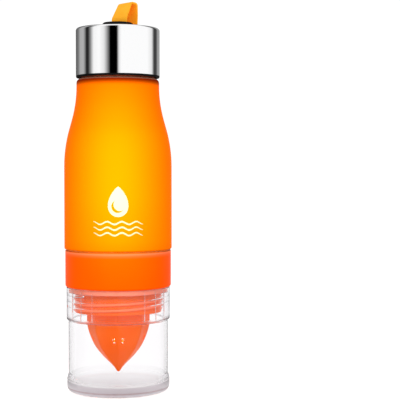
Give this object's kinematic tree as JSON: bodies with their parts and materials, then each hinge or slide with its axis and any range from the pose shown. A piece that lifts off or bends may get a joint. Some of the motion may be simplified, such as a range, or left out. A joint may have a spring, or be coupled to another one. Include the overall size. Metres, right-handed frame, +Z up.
{
  "type": "fruit infuser water bottle",
  "caption": "Drinking bottle whose clear lower cup unscrews to hold fruit pressed on a ribbed reamer, with a screw cap and a carrying strap.",
  "frame": {"origin": "centre of the foot, on the surface that the bottle stands on", "axes": "+Z up along the bottle's axis, -Y towards the front, where the print is"},
  "size_m": [0.072, 0.072, 0.2614],
  "materials": {
    "clear_plastic": "clear, polished",
    "milky_silicone": "translucent, satin",
    "orange_plastic": "satin",
    "frosted_orange": "frosted",
    "black_plastic": "satin",
    "polished_steel": "mirror polished",
    "orange_silicone": "satin",
    "screw_steel": "plain"
  },
  "bodies": {
    "cup": {"fruit_cup": "clear_plastic"},
    "lower_seal": {"lower_seal": "milky_silicone"},
    "juicer": {"juicer": "orange_plastic", "reamer": "orange_plastic", "grip_collar": "orange_plastic"},
    "upper_seal": {"upper_seal": "milky_silicone"},
    "bottle": {"bottle_body": "frosted_orange"},
    "cap_seal": {"cap_seal": "milky_silicone"},
    "cap": {"cap_liner": "black_plastic", "cap_shell": "polished_steel", "strap_disc": "black_plastic", "strap": "orange_silicone", "strap_screws": "screw_steel"}
  },
  "joints": [
    {"name": "juicer_lift", "type": "slide", "parent": "cup", "child": "lower_seal", "axis": [0, 0, 1], "range_m": [0, 0.01521]},
    {"name": "juicer_turn", "type": "hinge", "parent": "lower_seal", "child": "juicer", "pos_m": [0, 0, 0.0699], "axis": [0, 0, 1], "range_deg": [0, 720]},
    {"name": "bottle_turn", "type": "hinge", "parent": "juicer", "child": "upper_seal", "pos_m": [0, 0, 0.0944], "axis": [0, 0, 1], "range_deg": [0, 630]},
    {"name": "bottle_lift", "type": "slide", "parent": "upper_seal", "child": "bottle", "axis": [0, 0, 1], "range_m": [0, 0.01331]},
    {"name": "cap_lift", "type": "slide", "parent": "bottle", "child": "cap_seal", "axis": [0, 0, 1], "range_m": [0, 0.01751]},
    {"name": "cap_turn", "type": "hinge", "parent": "cap_seal", "child": "cap", "pos_m": [0, 0, 0.2271], "axis": [0, 0, 1], "range_deg": [0, 900]}
  ],
  "couplings": [
    {"joint": "juicer_lift", "follows": "juicer_turn", "m_per_rad": 0.0012096},
    {"joint": "bottle_lift", "follows": "bottle_turn", "m_per_rad": 0.0012096},
    {"joint": "cap_lift", "follows": "cap_turn", "m_per_rad": 0.0011141}
  ]
}
